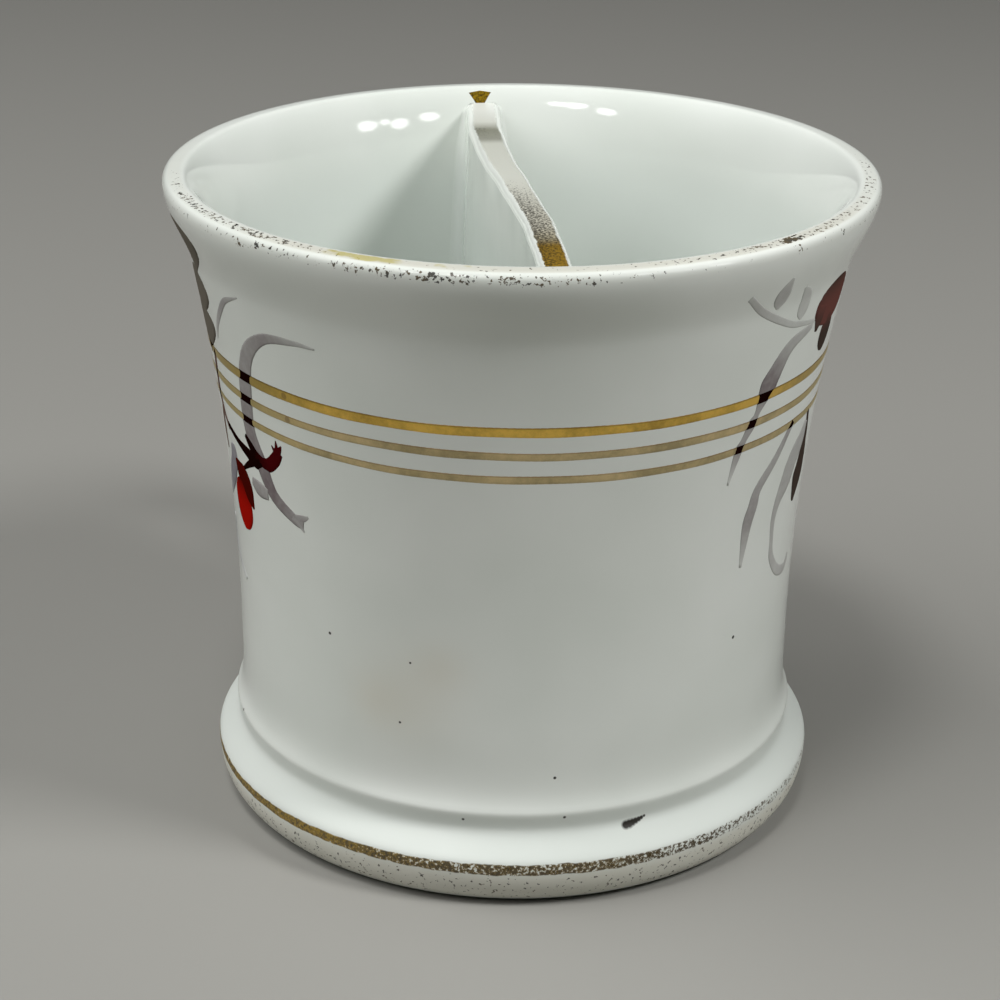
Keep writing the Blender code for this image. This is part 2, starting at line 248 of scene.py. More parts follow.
cup = {
    "height": 90.0, "rim": 48.0, "lipRoll": 0.9, "lipFall": 0.14,
    "lipEdge": 45.1, "lipEdgeZ": 90.0, "lipSlope": 38.0, "lipPull": 2.6,
    "neckZ": 79.5, "neck": 44.6, "neckPull": 4.2, "flarePull": 0.3,
    "wall": 4.0, "waist": 39.2, "waistZ": 24.5,
    "bead": 40.25, "beadZ": 12.9, "beadSlope": 32.0, "beadRound": 0.5, "beadEnd": -35.0,
    "beadPull": (6.0, 2.0), "groove": 39.85, "grooveZ": 10.7, "flareLeave": 0.35, "flareMeet": 0.3,
    "foot": 43.0, "footZ": 6.4, "footEdge": 1.5, "footSlope": 46.0,
    "tuck": 3.0, "tuckLeave": 0.42, "tuckMeet": (0.65, 0.2),
    "ringWidth": 5.9, "recess": 3.2, "recessSlope": 1.5, "floorZ": 8.5, "floorFillet": 9.0,
    "pole": 0.4,  # the first and last points' radius, which a fan closes
    "soften": 0.3,  # the glaze rounds every corner by about this much
    "step": 0.05,  # between the profile's points before they are thinned
    "crowd": (0.8, 2.2),  # how closely points stand on a straight, and how much more so on a bend
    "around": 288, "along": 320,
}


def cupProfile():
    # (radius, height) from the middle of the floor, up the inside, over the lip, down the outside and
    # under the foot. The wall's radius grows from the waist as the square of the height above it. The lip
    # is highest at its inner edge, falls a little outwards to a quarter round, and slopes inside. The foot
    # flares hollow from the groove to a rounded crest, and tucks in under it
    crest = cup["rim"] - cup["lipRoll"]
    slant = np.radians(cup["lipSlope"])
    lipZ = cup["height"] - cup["lipFall"] - cup["lipRoll"]
    rise = cup["neckZ"] - cup["waistZ"]
    slope = 2 * (cup["neck"] - cup["waist"]) / rise
    z = np.linspace(cup["waistZ"], cup["neckZ"], 200)
    wall = np.stack([cup["waist"] + (cup["neck"] - cup["waist"]) * ((z - cup["waistZ"]) / rise) ** 2, z], -1)
    inner = cup["waist"] - cup["wall"]
    corner = (inner - cup["floorFillet"], cup["floorZ"] + cup["floorFillet"])
    neck, climb = cup["neck"] - cup["wall"], cup["neckPull"]
    run = (lipZ - cup["neckZ"]) * cup["flarePull"]
    beadMiddle = (cup["bead"] - cup["beadRound"], cup["beadZ"])
    beadEdge = arc(beadMiddle, cup["beadRound"], cup["beadSlope"], cup["beadEnd"], 16)
    lean = np.tan(np.radians(cup["beadSlope"]))
    footEdge = arc((cup["foot"] - cup["footEdge"], cup["footZ"]), cup["footEdge"], 90 - cup["footSlope"], 0)
    shoulder = footEdge[0]
    fall = cup["grooveZ"] - shoulder[1]
    spread = np.radians(cup["footSlope"])
    ring = cup["foot"] - cup["tuck"]
    parts = [
        [(cup["pole"], cup["floorZ"])],
        arc(corner, cup["floorFillet"], -90, 0),
        wall - (cup["wall"], 0),
        cubic((neck, cup["neckZ"]), (neck + slope * climb, cup["neckZ"] + climb),
              (cup["lipEdge"] - cup["lipPull"] * np.cos(slant),
               cup["lipEdgeZ"] - cup["lipPull"] * np.sin(slant)),
              (cup["lipEdge"], cup["lipEdgeZ"])),
        arc((crest, lipZ), cup["lipRoll"], 90, 0),
        cubic((cup["rim"], lipZ), (cup["rim"], lipZ - run),
              (cup["neck"] + slope * run, cup["neckZ"] + run), (cup["neck"], cup["neckZ"])),
        wall[::-1],
        cubic((cup["waist"], cup["waistZ"]), (cup["waist"], cup["waistZ"] - cup["beadPull"][0]),
              beadEdge[0] + np.array([-lean, 1]) * cup["beadPull"][1], beadEdge[0]),
        beadEdge,
        cubic((cup["groove"], cup["grooveZ"]), (cup["groove"], cup["grooveZ"] - fall * cup["flareLeave"]),
              shoulder + np.array([-np.cos(spread), np.sin(spread)]) * fall * cup["flareMeet"], shoulder),
        footEdge,
        cubic((cup["foot"], cup["footZ"]), (cup["foot"], cup["footZ"] * cup["tuckLeave"]),
              (ring + cup["tuck"] * cup["tuckMeet"][0], cup["footZ"] * cup["tuckMeet"][1]), (ring, 0)),
        [(ring - cup["ringWidth"], 0), (ring - cup["ringWidth"] - cup["recessSlope"], cup["recess"])],
        [(cup["pole"], cup["recess"])],
    ]
    rough = np.vstack(parts)
    length = lengthAlong(rough)
    keep = np.concatenate([[True], np.diff(length) > 1e-6])
    step = cup["step"]
    fine = np.arange(0, length[-1], step)
    line = between(fine, length[keep], rough[keep])
    # a bell-shaped average over the glaze's softening, then points crowded where the line bends
    reach = int(cup["soften"] * 3 / step)
    weights = bell(np.arange(-reach, reach + 1) * step, 0, cup["soften"])
    padded = np.pad(line, ((reach, reach), (0, 0)), mode="edge")
    line = np.stack([np.convolve(padded[:, k], weights / weights.sum(), "valid") for k in (0, 1)], -1)
    heading = np.unwrap(np.arctan2(*np.gradient(line, axis=0).T))
    onStraight, onBend = cup["crowd"]
    crowd = np.cumsum(onStraight + onBend * np.sqrt(np.abs(np.gradient(heading, step))))
    picked = np.interp(np.linspace(crowd[0], crowd[-1], cup["along"]), crowd, np.arange(len(line)))
    line = between(picked, np.arange(len(line)), line)
    line[:, 1] -= line[:, 1].min()
    return line


profile = cupProfile()
lipIndex = int(np.argmax(profile[:, 1]))
down = lengthAlong(profile)
down -= down[lipIndex]  # mm along the profile: 0 on the lip's inner edge, positive down the outside
innerPart = profile[: lipIndex + 1]
outerPart = profile[lipIndex:][profile[lipIndex:, 1] > cup["footZ"]][::-1]


def outside(z):
    # the outer wall's radius at a height between the foot's crest and the lip
    return np.interp(z, outerPart[:, 1], outerPart[:, 0])


def inside(z):
    # the hollow's radius at a height between the floor and the lip
    part = innerPart[innerPart[:, 1] > cup["floorZ"] + 0.01]
    return np.interp(z, part[:, 1], part[:, 0])


def wallPoint(turn, radius, z):
    angle = np.radians(turn)
    return np.stack(np.broadcast_arrays(radius * np.sin(angle), -radius * np.cos(angle), z), -1)


def wallSpot(turn, z):
    # a place on the outside, in metres
    return Vector(toWorld(wallPoint(turn, outside(z), z)).tolist())


wear = {
    "inner": "#D5DBD5",  # painted shade: greys the hollow more the deeper it goes, and the foot's upward flare a little
    # the grey laid on the lip's flat top is painted shade
    "tan": "#CDBB98", "lipShade": "#C9C7BA", "clay": "#CDC8BA", "soot": "#2B2823",
    "olive": "#B3A95C", "gold": "#A3841F", "brown": "#4C3C1C", "metallic": 0.35,
    "fleck": 0.6, "tone": 2.5, "wobble": 1.6, "grain": 0.45,  # mm, the size of each noise
    # the foot's gilt line: its height, then (turn, half width) and (turn, how much gold is left)
    "footLineZ": 6.2,
    "footLine": [(-180, 0.5), (-90, 0.5), (-60, 0.6), (-38, 0.68), (-15, 0.75), (12, 0.78), (40, 0.68),
                 (75, 0.5), (180, 0.5)],
    "footGold": [(-180, 0.95), (-85, 0.85), (-45, 0.95), (-30, 0.8), (-15, 0.72), (12, 0.7), (40, 0.52),
                 (75, 0.42), (180, 0.95)],
    # zones down the profile (start, end, softness), from the lip's inner edge, then from the foot's line
    "flat": (0.2, 1.9, 0.3), "roll": (2.2, 4.0, 0.5), "lipGilt": (0.1, 1.8, 0.25),
    "flare": (-7.5, -0.6, 0.8), "onLine": (-0.7, 0.7, 0.2), "tuck": (0.9, 5.6, 0.5),
    "bare": (6.9, 13.6, 0.4),
    # zones round the cup, in degrees
    "lineTurns": (-20, 42, 12), "lipShadeTurns": (-50, 60, 12), "giltTurns": (-37, -24, 2.0),
    "halfGiltTurns": (-22, -12, 3.0),
    # turn, height, size and strength
    "stains": [(-27, 28.0, 4.5, 0.16), (-20, 33.5, 2.6, 0.14), (-34, 27.0, 2.6, 0.12)],
    "base": (0.62, 0.6),  # how many flecks there are everywhere on the lip's flat top and on its outer roll
    # where more of them gather: turn, spread, and how many more on the flat top and on the roll
    "clusters": [(-66, 15, 0.55, 0.2), (-45, 9, 0.4, 0.4), (-24, 8, 0.1, 0.5), (-11, 7, 0.15, 0.42),
                 (4, 8, 0.15, 0.4), (22, 8, 0.33, 0.1), (34, 6, 0.4, 0.0), (38.6, 1.0, 1.0, 0.5),
                 (47, 6, 0.4, 0.1), (64, 12, 0.38, 0.2), (85, 12, 0.3, 0.1)],
    "marks": [  # turn, height and radius of each pinhole, and of the seven that make the chip
        (-44, 34.8, 0.28), (-26, 33.6, 0.2), (-28.3, 24.5, 0.22), (-15.3, 11.9, 0.24), (2.1, 17.9, 0.26),
        (3.9, 12.4, 0.26), (42, 32.6, 0.32), (-78.4, 13.1, 0.28),
        (16.2, 9.95, 0.75), (16.9, 10.0, 0.75), (17.6, 10.1, 0.65), (18.3, 10.2, 0.55), (19.0, 10.32, 0.45),
        (19.6, 10.45, 0.35), (20.2, 10.6, 0.25),
    ],
    # the gold behind the partition, on the lip's slope: middle, half width and two radii
    "cornerGold": (-1.7, 1.95, 42.7, 44.5), "cornerFrom": 80.0,
}
ring = np.arange(cup["around"])[None, :] / cup["around"] * 360 - 180  # the seam lies behind the handle
lineAt = float(np.interp(-wear["footLineZ"], -profile[lipIndex:, 1], down[lipIndex:]))


def paintedDepthShade(z):
    # painted shade: how much darker the hollow is painted at a height, more the deeper down
    return ease(z, 86, 74)


def fromLine(zone):
    # a zone of the foot, 1 between its start and end past the gilt line
    start, end, soft = wear[zone]
    return window(down[:, None], lineAt + start, lineAt + end, soft)


def cupWear():
    # where the gilding, the flecks, the stains and the painted shade are, from 0 to 1 over the turn, the
    # height and the way down the profile: each is a product of windows, with a bell for each cluster and
    # stain
    d, z, r = down[:, None], profile[:, 1:], profile[:, :1]
    whole = np.ones_like(d * ring)
    facing = ease(np.cos(np.radians(ring)), -0.6, 0.2)
    flat, roll, tuck = window(d, *wear["flat"]), window(d, *wear["roll"]), fromLine("tuck")
    onFlat, onRoll = wear["base"]
    for turn, spread, more, under in wear["clusters"]:
        onFlat = onFlat + more * bell(ring, turn, spread)
        onRoll = onRoll + under * bell(ring, turn, spread)
    onLine = fromLine("onLine") * window(ring, *wear["lineTurns"]) * 1.05
    onTuck = tuck * (0.92 - 0.06 * np.cos(np.radians(ring * 3)))
    flecks = (flat * onFlat + roll * onRoll) * facing + onTuck + onLine
    # the level that a fine noise has to fall under: none inside, hardly any on the wall
    flecks = np.where(d < -0.5, 0.0, np.maximum(0.12 + 0.28 * flecks, 0.17))
    gilt = window(ring, *wear["giltTurns"]) + 0.5 * window(ring, *wear["halfGiltTurns"])
    line = (d - lineAt) / np.interp(ring, *zip(*wear["footLine"]))
    # painted shade: the lip's flat top greyed, most on the side that faces the front, so that the whiter
    # roll beside it reads as a glint; a little on the roll too
    lipShade = flat * (0.25 * facing + 0.5 * window(ring, *wear["lipShadeTurns"])) + roll * 0.12 * facing
    spots = sum(strength * bell(ring, turn, size / 0.7) * bell(z, height, size)
                for turn, height, size, strength in wear["stains"])
    dullAt = [-1.5, 0.5, 4.5, 9.5, lineAt - 12, lineAt - 4]
    half, low, high = wear["cornerGold"][1:]
    corner = (d < 0) & (z > wear["cornerFrom"]) & (r < high)
    return {
        "line": line, "flecks": flecks, "lipShade": lipShade, "lipGold": window(d, *wear["lipGilt"]) * gilt,
        "solid": np.interp(ring, *zip(*wear["footGold"])) * whole,
        "stain": 0.26 * tuck + ease(d, 2, 6) * spots,
        # inner: painted shade down the hollow, and a lighter painted shade on the foot's flare
        "inner": (paintedDepthShade(z) * (d < 0) + 0.6 * fromLine("flare")) * whole,
        "bare": fromLine("bare") * whole,
        "dull": np.interp(d, dullAt, [0.0, 0.04, 0.03, 0.05, 0.05, 0.35]) * whole,
        "wedge": np.where(corner, (r - low) / (high - low) * half, -1.0) * whole,
    }


def cupGlaze():
    # glazed porcelain with the gilding of lip and foot rubbed down to flecks: glossy white, with dark and
    # golden flecks at the edges, and painted shade in the hollow, on the foot's flare and on the lip's flat
    # top
    made, add = newMaterial("glazed_porcelain_worn_gilding")
    place, colour = glazeColour(add)
    worn = {key: add("Attribute", attribute_name=key, out="Fac") for key in cupWear()}
    # inner and the lip's flat-top tint are painted shade; stain is real staining
    for key, tint in (("inner", wear["inner"]), ("stain", wear["tan"]), ("lipShade", wear["lipShade"])):
        colour = add("Mix", {0: worn[key], 6: colour, 7: linear(tint)}, **tinted)

    # pinholes and the chip: 1 within the radius of each
    spots = 0.0
    for turn, z, radius in wear["marks"]:
        away = add("VectorMath", [place, wallSpot(turn, z)], out="Value", operation="DISTANCE")
        spot = add("MapRange", [away, radius / 1000, radius / 1000 * 0.55])
        spots = add("Math", [spots, spot], operation="MAXIMUM")
    colour = add("Mix", {0: spots, 6: colour, 7: linear(wear["soot"])}, **tinted)

    # flecks: where a fine noise falls under a level that rises with their density
    size = perMm / wear["fleck"]
    fine = add("TexNoise", {"Vector": place, "Scale": size, "Detail": 3.0, "Roughness": 0.6})
    under = add("Math", [worn["flecks"], fine], operation="SUBTRACT")
    fleck = add("MapRange", [under, -0.015, 0.02, 0.0, 0.92])
    tone = add("TexNoise", {"Vector": place, "Scale": perMm / wear["tone"], "Detail": 1.0})
    tint = {0: add("MapRange", [tone, 0.4, 0.6]), 6: linear(wear["soot"]), 7: linear(wear["brown"])}
    tint = add("Mix", tint, **tinted)
    colour = add("Mix", {0: fleck, 6: colour, 7: tint}, **tinted)

    # the foot's gilt line: where the noise lies under what is left of it
    wobble = add("TexNoise", {"Vector": place, "Scale": perMm / wear["wobble"], "Detail": 2.0})
    size = perMm / wear["grain"]
    grain = add("TexNoise", {"Vector": place, "Scale": size, "Detail": 4.0, "Roughness": 0.65})
    offLine = add("Math", [wobble, 0.7, worn["line"]], **timesPlus)
    offLine = add("Math", [add("Math", [offLine, 0.35], operation="SUBTRACT")], operation="ABSOLUTE")
    line = add("MapRange", [offLine, 1.1, 0.9])
    left = add("Math", [worn["solid"], 0.55, grain], **timesPlus)
    left = add("MapRange", [left, 0.78, 0.86])
    line = add("Math", [add("Math", [line, left], **times), 0.94], **times)

    # gold left on the lip, and in the corner behind the partition: a wedge that narrows down the inside
    lipLeft = add("Math", [worn["lipGold"], 0.6, wobble], **timesPlus)
    lipGold = add("MapRange", [lipLeft, 0.8, 1.1, 0.0, 0.75])
    colour = add("Mix", {0: lipGold, 6: colour, 7: linear(wear["olive"])}, **tinted)
    across, along = add("SeparateXYZ", [place]).node.outputs[:2]
    off = add("Math", [across, -wear["cornerGold"][0] / 1000], operation="ADD")
    off = add("Math", [off], operation="ABSOLUTE")
    off = add("Math", [off, -perMm, worn["wedge"]], **timesPlus)
    behind = add("Math", [along, 0.0], operation="GREATER_THAN")
    wedge = add("Math", [add("MapRange", [off, -0.05, 0.05]), behind], **times)
    gold = add("Math", [line, wedge], operation="MAXIMUM")
    rubbed = add("Math", [worn["solid"], -0.35, grain], **timesPlus)
    rubbed = add("MapRange", [rubbed, 0.10, 0.30])
    tint = {0: rubbed, 6: linear(wear["gold"]), 7: linear(wear["brown"])}
    tint = add("Mix", tint, **tinted)
    colour = add("Mix", {0: gold, 6: colour, 7: tint}, **tinted)
    colour = add("Mix", {0: worn["bare"], 6: colour, 7: linear(wear["clay"])}, **tinted)
    rough = add("Math", [gold, 0.15, worn["dull"]], **timesPlus)
    rough = add("Math", [rough, glaze["roughness"]], operation="ADD")
    rough = add("Math", [worn["bare"], 0.6, rough], **timesPlus)
    shader = add("BsdfPrincipled", {
        "Base Color": colour, "Roughness": rough, "IOR": glaze["ior"], "Normal": glazeNormal(add, place),
        "Metallic": add("Math", [gold, wear["metallic"]], **times)})
    add("OutputMaterial", [shader])
    return made


cupSkin = skin(wallPoint(ring, profile[:, :1], profile[:, 1:]), **cupWear())
makePiece("cup_glazed", [cupSkin], cupGlaze(), "cup_body")

partition = {
    "top": 87.8, "half": 2.1, "footHalf": 3.2, "edge": 0.95, "embed": 1.6, "buried": 1.5,
    # side: painted shade, the grey that the partition's faces are painted deeper down
    "grow": 0.2, "growFrom": (-15.0, 38.0), "side": "#C8CFC9", "crown": 0.004,
    "swing": 0.9, "belly": 0.35, "offset": -0.7, "turn": -0.0145, "span": 43.0,
    "ragged": 1.5, "grain": 0.34, "metallic": 0.3, "goldEnd": (-26.0, -29.0),
    # the top edge from front to back: where it is gilt, peppered, plain, greyed and white
    "stripe": [(-44, "#AC882C"), (-30, "#9C7C2E"), (-27, "#A79F84"), (-22, "#B7B4A4"), (-4, "#C6C7BC"),
               (2, "#C9CBC1"), (19, "#C5C7BC"), (21.5, "#95968A"), (27, "#898A7B"), (32, "#D0D2C8"),
               (39, "#DADDD6"), (44, "#DADDD6")],
    "pepper": [(-44, 0.43), (-30, 0.46), (-26, 0.50), (-14, 0.47), (-6, 0.42), (0, 0.30), (5, 0.0),
               (19, 0.0), (22, 0.36), (28, 0.40), (32, 0.0), (44, 0.0)],
}


def partitionMiddle(y):
    # offset + turn * y - swing * sin(pi y / span) - belly * cos(pi y / (2 span)): an uneven S from above
    wave = partition["swing"] * np.sin(np.pi * y / partition["span"])
    wave = wave + partition["belly"] * np.cos(np.pi * y / 2 / partition["span"])
    return partition["offset"] + partition["turn"] * y - wave


def partitionHalf(z):
    # half the thickness, growing evenly from the top to the foot, and falling away round the top edge
    share = (z - cup["floorZ"]) / (partition["top"] - cup["floorZ"])
    even = partition["footHalf"] + (partition["half"] - partition["footHalf"]) * share
    over = np.clip(z - partition["top"] + partition["edge"], 0, partition["edge"])
    return even - partition["edge"] + np.sqrt(partition["edge"] ** 2 - over ** 2)


def partitionGrow(y):
    # the slab is a little thicker towards the back
    return 1 + partition["grow"] * ease(y, *partition["growFrom"])


def partitionSkin():
    # a slab's section with rounded top edges, carried from wall to wall; its ends follow the hollow and
    # reach into it, and its foot into the floor. Points stand closer towards the top
    edge, top = partition["edge"], partition["top"]
    side = top - edge - (top - edge - cup["floorZ"] + partition["buried"]) * np.linspace(1, 0, 34) ** 2
    right = np.vstack([np.stack([partitionHalf(side), side], -1),
                       arc((partition["half"] - edge, top - edge), edge, 0, 84, 14)])
    crown = np.linspace((partition["half"] - edge, top - partition["crown"]), (0, top), 5)[1:]
    half = np.vstack([right, crown])
    section = np.vstack([half, half[-2::-1] * (-1, 1)])
    q = np.linspace(-1, 1, 170)[:, None]
    z = section[None, :, 1]
    y = q * (inside(z) + partition["embed"])
    high = ease(z, top - 5, top)
    wavy = 0.06 * np.sin(y / 3.1 + 1) + 0.04 * np.sin(y / 1.7)  # its edges were wiped by hand
    x = partitionMiddle(y) + section[None, :, 0] * partitionGrow(y) + wavy * high
    points = np.stack(np.broadcast_arrays(x, y, z + 0.08 * np.sin(y / 9.0 + 0.6) * high), -1)
    across = np.broadcast_to(section[None, :, 0] / partition["half"], points.shape[:2])
    along, tints = zip(*partition["stripe"])
    stripe = between(points[..., 1], along, [linear(tint) for tint in tints])
    pepper = np.interp(points[..., 1], *zip(*partition["pepper"])) - 0.05 * across
    return skin(points, lengthwise=points[..., 1], across=across, depth=top - points[..., 2], stripe=stripe,
                pepper=pepper, inner=paintedDepthShade(points[..., 2]))


def partitionGlaze():
    # glazed porcelain with rubbed gilding on its top: white sides and edges, the sides painted greyer with
    # depth as shade, and between them a gold, grey and tan stripe
    made, add = newMaterial("glazed_porcelain_gilt_edge")
    place, colour = glazeColour(add)
    keys = ("lengthwise", "across", "depth", "pepper", "inner")
    read = [add("Attribute", attribute_name=key, out="Fac") for key in keys]
    lengthwise, across, depth, pepper, inner = read
    stripe = add("Attribute", attribute_name="stripe", out="Color")
    # painted shade: the faces painted greyer the deeper they lie
    colour = add("Mix", {0: inner, 6: colour, 7: linear(partition["side"])}, **tinted)
    ragged = add("TexNoise", {"Vector": place, "Scale": perMm / partition["ragged"], "Detail": 3.0})
    size = perMm / partition["grain"]
    fine = add("TexNoise", {"Vector": place, "Scale": size, "Detail": 4.0, "Roughness": 0.65})
    off = add("Math", [across], operation="ABSOLUTE")
    off = add("Math", [ragged, 0.22, off], **timesPlus)
    onTop = add("MapRange", [off, 0.83, 0.75])
    onTop = add("Math", [onTop, add("MapRange", [depth, 0.5, 0.3])], **times)
    dark = add("MapRange", [add("Math", [pepper, fine], operation="SUBTRACT"), -0.06, 0.01])
    dark = add("Math", [dark, onTop], **times)
    front = add("MapRange", [lengthwise, *partition["goldEnd"]])
    gold = add("Math", [onTop, front], **times)
    colour = add("Mix", {0: onTop, 6: colour, 7: stripe}, **tinted)
    dark = add("Math", [dark, 0.85], **times)
    colour = add("Mix", {0: dark, 6: colour, 7: linear(wear["soot"])}, **tinted)
    shader = add("BsdfPrincipled", {
        "Base Color": colour, "IOR": glaze["ior"], "Normal": glazeNormal(add, place),
        "Metallic": add("Math", [gold, partition["metallic"]], **times),
        "Roughness": add("Math", [onTop, 0.25, glaze["roughness"]], **timesPlus),
        # its sides are dull with soap
        "Specular IOR Level": add("Math", [inner, -0.42, 0.5], **timesPlus)})
    add("OutputMaterial", [shader])
    return made


makePiece("partition_glazed", [partitionSkin()], partitionGlaze(), "partition")

cove = {
    "leg": 3.6, "topLeg": 1.4, "fade": 7.0, "sink": 0.04, "runOut": 0.5, "bury": 0.3, "clear": 0.004,
    "floorStations": 60, "roughness": 0.45, "specular": 0.1,
}


def coveSkin(side):
    # Where the partition meets the cup: the path runs down the front wall, over the floor and up the back
    # wall. Each section is a quarter round, tangent to both: across the cup by leg * (1 - sin f), up from
    # it by leg * (1 - cos f), and its ends run on just under both surfaces, so that no edge shows
    onWall = innerPart[:, 0] > inside(cup["floorZ"] + 0.02) * 0.9
    climb = innerPart[onWall & (innerPart[:, 1] < partition["top"] - 0.05)]
    along = np.gradient(climb, axis=0)
    along /= np.linalg.norm(along, axis=1)[:, None]
    flat = np.linspace(-1, 1, cove["floorStations"])[1:-1]
    # for each station: end (-1 front, 1 back), share of its circle's radius, that radius, height, and the
    # cup's normal as (radius, height)
    one, level = np.ones(len(climb)), np.ones_like(flat)
    back = np.stack([one, one, climb[:, 0], climb[:, 1], -along[:, 1], along[:, 0]])
    front = back[:, ::-1] * np.array([-1, 1, 1, 1, 1, 1])[:, None]
    onFloor = np.stack([np.sign(flat), np.abs(flat), level * climb[0, 0], level * climb[0, 1],
                        0 * level, level])
    end, share, radius, z, normalR, normalZ = np.hstack([front, onFloor, back])
    rise = (z - cup["floorZ"]) / (partition["top"] - cup["floorZ"])
    leg = cove["leg"] + (cove["topLeg"] - cove["leg"]) * rise
    leg = leg * np.sqrt(np.clip((partition["top"] - z) / cove["fade"], 0.001, 1))
    f = np.radians(np.linspace(0, 90, 19))
    on, deep = 1 + cove["runOut"], -cove["bury"]
    reach = np.concatenate([[on], 1 - np.sin(f), [0, deep, deep, on]])[None, :]
    lift = np.concatenate([[0], 1 - np.cos(f), [on, on, deep, deep]])[None, :]
    into, under = np.zeros_like(reach), np.zeros_like(lift)
    into[0, len(f) + 1] = under[0, 0] = cove["sink"]
    stations = np.stack([end, share, radius, z, normalR, normalZ, leg])[:, :, None]
    end, share, radius, z, normalR, normalZ, leg = stations
    up = leg * lift - under
    height = z + normalZ * up
    y = end * share * radius
    for _ in range(3):
        # the partition's face where the point lies, found again as the point moves along it
        faceX = partitionMiddle(y) + side * (partitionHalf(height) * partitionGrow(y) - cove["clear"])
        x = faceX + side * (leg * reach - into)
        y = end * (share * np.sqrt(radius ** 2 - x ** 2) + normalR * up)
    points = np.stack(np.broadcast_arrays(x, y, height), -1)
    toPartition = np.concatenate([[0], np.sin(f), [1, 1, 1, 0]])[None, :]
    return skin(points, inner=paintedDepthShade(points[..., 2]), side=np.broadcast_to(toPartition, x.shape))


def coveGlaze():
    # glazed slip, wiped smooth: the same white as the hollow, with the same painted shade deepening with
    # depth, and hardly shiny
    made, add = newMaterial("glazed_slip")
    place, colour = glazeColour(add)
    inner, side = (add("Attribute", attribute_name=key, out="Fac") for key in ("inner", "side"))
    # painted shade: the hollow's grey blending to the partition's, darker with depth
    tint = {0: side, 6: linear(wear["inner"]), 7: linear(partition["side"])}
    tint = add("Mix", tint, **tinted)
    colour = add("Mix", {0: inner, 6: colour, 7: tint}, **tinted)
    shader = add("BsdfPrincipled", {
        "Base Color": colour, "Roughness": cove["roughness"], "Specular IOR Level": cove["specular"],
        "Normal": glazeNormal(add, place)})
    add("OutputMaterial", [shader])
    return made


slip = coveGlaze()
plain = plainGlaze()
for name, side in (("left", -1), ("right", 1)):
    makePiece(name + "_cove_glazed", [coveSkin(side)], slip, name + "_slip_cove", slot="luting_slip")

handle = {
    "reach": 73.5, "width": 11.5, "thickness": 8.0, "topZ": 69.0, "bendZ": 57.0, "footZ": 28.5,
    "lift": 14.0, "droop": 20.0, "rootWidth": 14.0, "bury": 2.0, "around": 56, "steps": 90,
    "leave": 0.7, "over": 0.9, "under": 0.6, "arrive": 0.5,  # shares that set the pull at roots and bend
    "fullness": (0.92, 0.96),  # powers that fill the oval out, 1 is an ellipse
    "collar": 2.3,  # mm that the slip runs out onto the wall, and up the handle
    "collarAround": 72, "overlap": 0.05,
}


def handleLine():
    # two Beziers (outwards, height): from the upper root over the shoulder to the bend, and on to the
    # lower root
    out = handle["reach"] - handle["thickness"] / 2
    top = np.array([outside(handle["topZ"]) - handle["bury"], handle["topZ"]])
    foot = np.array([outside(handle["footZ"]) - handle["bury"], handle["footZ"]])
    bend = np.array([out, handle["bendZ"]])
    lift, droop = np.radians(handle["lift"]), np.radians(handle["droop"])
    leave = top + np.array([np.cos(lift), np.sin(lift)]) * (out - top[0]) * handle["leave"]
    arrive = foot + np.array([np.cos(droop), np.sin(droop)]) * (out - foot[0]) * handle["arrive"]
    over = bend + np.array([0, handle["topZ"] - handle["bendZ"]]) * handle["over"]
    under = bend + np.array([0, handle["footZ"] - handle["bendZ"]]) * handle["under"]
    line = np.vstack([cubic(top, leave, over, bend, 200), cubic(bend, under, arrive, foot, 200)[1:]])
    length = lengthAlong(line)
    return between(np.linspace(0, length[-1], handle["steps"]), length, line)


def handleSkin():
    # an oval carried along the line, a little fuller on its sides than an ellipse, growing to the roots
    # as the 4th power
    line = handleLine()
    ahead = np.gradient(line, axis=0)
    ahead /= np.linalg.norm(ahead, axis=1)[:, None]
    share = np.linspace(-1, 1, len(line))
    size = 1 + (handle["rootWidth"] / handle["width"] - 1) * share ** 4
    angle = np.linspace(0, 2 * np.pi, handle["around"], endpoint=False)
    across, through = handle["fullness"]
    wide = np.sign(np.cos(angle)) * np.abs(np.cos(angle)) ** across * handle["width"] / 2
    thick = np.sign(np.sin(angle)) * np.abs(np.sin(angle)) ** through * handle["thickness"] / 2
    x = size[:, None] * wide[None, :]
    y = line[:, :1] - ahead[:, 1:] * size[:, None] * thick[None, :]
    z = line[:, 1:] + ahead[:, :1] * size[:, None] * thick[None, :]
    return skin(np.stack([x, y, z], -1))


